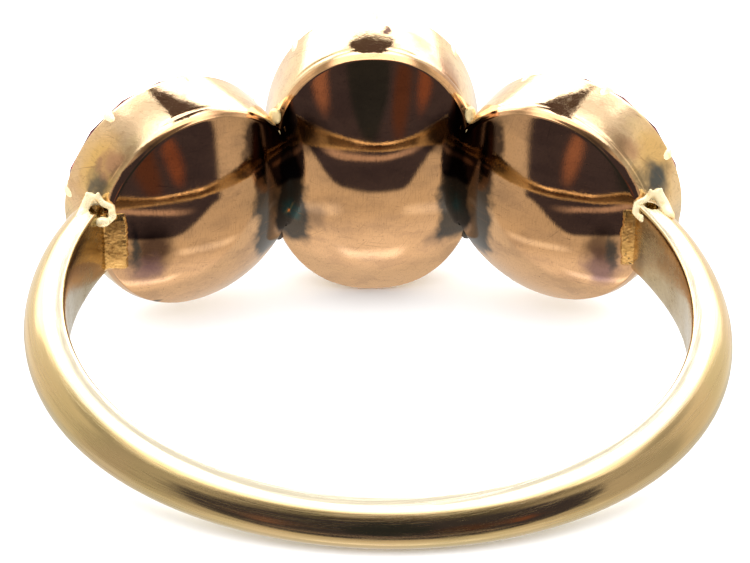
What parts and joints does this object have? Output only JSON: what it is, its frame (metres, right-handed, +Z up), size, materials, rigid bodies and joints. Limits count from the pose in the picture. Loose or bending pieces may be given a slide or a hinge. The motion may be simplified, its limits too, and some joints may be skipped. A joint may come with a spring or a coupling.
{
  "type": "three-stone ring",
  "caption": "Finger ring with a D-section band, closed-back oval claw collets side by side and faceted stones.",
  "frame": {"origin": "on the surface that the ring lies on, under the middle of its box", "axes": "+Z up from that surface, +Y from the back of the band towards the stones, +X across the finger hole"},
  "size_m": [0.0201, 0.0205, 0.009],
  "materials": {
    "gold": "polished rose and yellow gold, worn",
    "stone": "polished facets"
  },
  "bodies": {
    "root": {"ring_mount": "gold", "stone_left": "stone", "stone_centre": "stone", "stone_right": "stone"}
  },
  "joints": []
}
